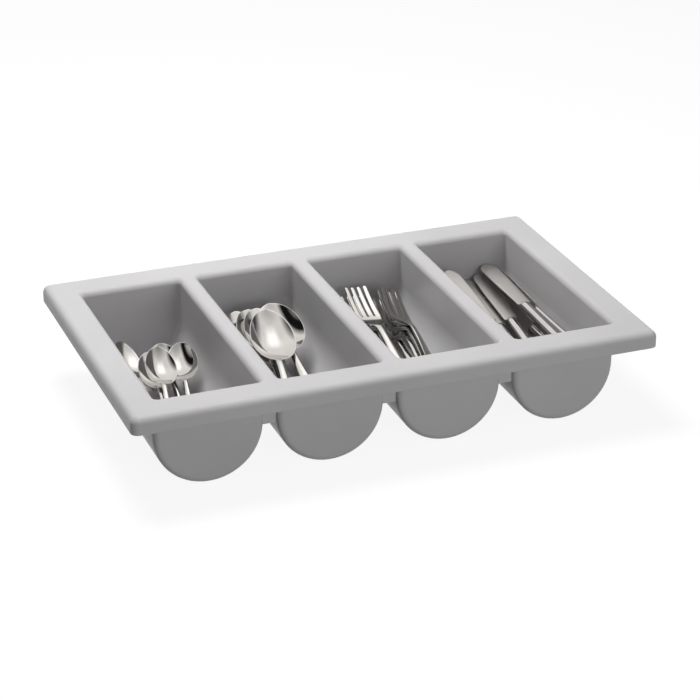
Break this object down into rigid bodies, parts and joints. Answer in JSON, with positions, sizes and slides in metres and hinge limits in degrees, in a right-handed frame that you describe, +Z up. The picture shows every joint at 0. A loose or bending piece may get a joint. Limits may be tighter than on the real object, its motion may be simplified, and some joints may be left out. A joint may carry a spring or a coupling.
{
  "type": "cutlery box",
  "caption": "Gastronorm cutlery box: a moulded tray with a downturned rim and round-bottomed compartments that hold loose teaspoons, tablespoons, forks and knives.",
  "frame": {"origin": "middle of the tray's length and width, on the surface it stands on", "axes": "+X along the long side from the teaspoons to the knives, +Y from the near long side to the back, +Z up"},
  "size_m": [0.53, 0.325, 0.0969],
  "materials": {
    "tray_plastic": "satin light grey moulding",
    "cutlery_steel": "polished stainless steel",
    "knife_steel": "polished handle and satin blade"
  },
  "bodies": {
    "tray": {"tray": "tray_plastic"},
    "teaspoon_1": {"teaspoon_1": "cutlery_steel"},
    "teaspoon_2": {"teaspoon_2": "cutlery_steel"},
    "teaspoon_3": {"teaspoon_3": "cutlery_steel"},
    "teaspoon_4": {"teaspoon_4": "cutlery_steel"},
    "teaspoon_5": {"teaspoon_5": "cutlery_steel"},
    "teaspoon_6": {"teaspoon_6": "cutlery_steel"},
    "tablespoon_1": {"tablespoon_1": "cutlery_steel"},
    "tablespoon_2": {"tablespoon_2": "cutlery_steel"},
    "tablespoon_3": {"tablespoon_3": "cutlery_steel"},
    "tablespoon_4": {"tablespoon_4": "cutlery_steel"},
    "tablespoon_5": {"tablespoon_5": "cutlery_steel"},
    "tablespoon_6": {"tablespoon_6": "cutlery_steel"},
    "fork_1": {"fork_1": "cutlery_steel"},
    "fork_2": {"fork_2": "cutlery_steel"},
    "fork_3": {"fork_3": "cutlery_steel"},
    "fork_4": {"fork_4": "cutlery_steel"},
    "fork_5": {"fork_5": "cutlery_steel"},
    "fork_6": {"fork_6": "cutlery_steel"},
    "fork_7": {"fork_7": "cutlery_steel"},
    "fork_8": {"fork_8": "cutlery_steel"},
    "knife_1": {"knife_1": "knife_steel"},
    "knife_2": {"knife_2": "knife_steel"},
    "knife_3": {"knife_3": "knife_steel"},
    "knife_4": {"knife_4": "knife_steel"},
    "knife_5": {"knife_5": "knife_steel"},
    "knife_6": {"knife_6": "knife_steel"},
    "knife_7": {"knife_7": "knife_steel"},
    "knife_8": {"knife_8": "knife_steel"},
    "knife_9": {"knife_9": "knife_steel"},
    "knife_10": {"knife_10": "knife_steel"}
  },
  "joints": [
    {"name": "teaspoon_1_lift", "type": "slide", "parent": "tray", "child": "teaspoon_1", "axis": [0, 0, 1], "range_m": [0, 0.12]},
    {"name": "teaspoon_2_lift", "type": "slide", "parent": "teaspoon_1", "child": "teaspoon_2", "axis": [0, 0, 1], "range_m": [0, 0.12]},
    {"name": "teaspoon_3_lift", "type": "slide", "parent": "teaspoon_2", "child": "teaspoon_3", "axis": [0, 0, 1], "range_m": [0, 0.12]},
    {"name": "teaspoon_4_lift", "type": "slide", "parent": "teaspoon_3", "child": "teaspoon_4", "axis": [0, 0, 1], "range_m": [0, 0.12]},
    {"name": "teaspoon_5_lift", "type": "slide", "parent": "teaspoon_4", "child": "teaspoon_5", "axis": [0, 0, 1], "range_m": [0, 0.12]},
    {"name": "teaspoon_6_lift", "type": "slide", "parent": "teaspoon_5", "child": "teaspoon_6", "axis": [0, 0, 1], "range_m": [0, 0.12]},
    {"name": "tablespoon_1_lift", "type": "slide", "parent": "tray", "child": "tablespoon_1", "axis": [0, 0, 1], "range_m": [0, 0.12]},
    {"name": "tablespoon_2_lift", "type": "slide", "parent": "tablespoon_1", "child": "tablespoon_2", "axis": [0, 0, 1], "range_m": [0, 0.12]},
    {"name": "tablespoon_3_lift", "type": "slide", "parent": "tablespoon_2", "child": "tablespoon_3", "axis": [0, 0, 1], "range_m": [0, 0.12]},
    {"name": "tablespoon_4_lift", "type": "slide", "parent": "tablespoon_3", "child": "tablespoon_4", "axis": [0, 0, 1], "range_m": [0, 0.12]},
    {"name": "tablespoon_5_lift", "type": "slide", "parent": "tablespoon_4", "child": "tablespoon_5", "axis": [0, 0, 1], "range_m": [0, 0.12]},
    {"name": "tablespoon_6_lift", "type": "slide", "parent": "tablespoon_5", "child": "tablespoon_6", "axis": [0, 0, 1], "range_m": [0, 0.12]},
    {"name": "fork_1_lift", "type": "slide", "parent": "tray", "child": "fork_1", "axis": [0, 0, 1], "range_m": [0, 0.12]},
    {"name": "fork_2_lift", "type": "slide", "parent": "fork_1", "child": "fork_2", "axis": [0, 0, 1], "range_m": [0, 0.12]},
    {"name": "fork_3_lift", "type": "slide", "parent": "fork_2", "child": "fork_3", "axis": [0, 0, 1], "range_m": [0, 0.12]},
    {"name": "fork_4_lift", "type": "slide", "parent": "fork_3", "child": "fork_4", "axis": [0, 0, 1], "range_m": [0, 0.12]},
    {"name": "fork_5_lift", "type": "slide", "parent": "fork_4", "child": "fork_5", "axis": [0, 0, 1], "range_m": [0, 0.12]},
    {"name": "fork_6_lift", "type": "slide", "parent": "fork_5", "child": "fork_6", "axis": [0, 0, 1], "range_m": [0, 0.12]},
    {"name": "fork_7_lift", "type": "slide", "parent": "fork_6", "child": "fork_7", "axis": [0, 0, 1], "range_m": [0, 0.12]},
    {"name": "fork_8_lift", "type": "slide", "parent": "fork_7", "child": "fork_8", "axis": [0, 0, 1], "range_m": [0, 0.12]},
    {"name": "knife_1_lift", "type": "slide", "parent": "tray", "child": "knife_1", "axis": [0, 0, 1], "range_m": [0, 0.12]},
    {"name": "knife_2_lift", "type": "slide", "parent": "knife_1", "child": "knife_2", "axis": [0, 0, 1], "range_m": [0, 0.12]},
    {"name": "knife_3_lift", "type": "slide", "parent": "knife_2", "child": "knife_3", "axis": [0, 0, 1], "range_m": [0, 0.12]},
    {"name": "knife_4_lift", "type": "slide", "parent": "knife_3", "child": "knife_4", "axis": [0, 0, 1], "range_m": [0, 0.12]},
    {"name": "knife_5_lift", "type": "slide", "parent": "knife_4", "child": "knife_5", "axis": [0, 0, 1], "range_m": [0, 0.12]},
    {"name": "knife_6_lift", "type": "slide", "parent": "knife_5", "child": "knife_6", "axis": [0, 0, 1], "range_m": [0, 0.12]},
    {"name": "knife_7_lift", "type": "slide", "parent": "knife_6", "child": "knife_7", "axis": [0, 0, 1], "range_m": [0, 0.12]},
    {"name": "knife_8_lift", "type": "slide", "parent": "knife_7", "child": "knife_8", "axis": [0, 0, 1], "range_m": [0, 0.12]},
    {"name": "knife_9_lift", "type": "slide", "parent": "knife_8", "child": "knife_9", "axis": [0, 0, 1], "range_m": [0, 0.12]},
    {"name": "knife_10_lift", "type": "slide", "parent": "knife_9", "child": "knife_10", "axis": [0, 0, 1], "range_m": [0, 0.12]}
  ]
}
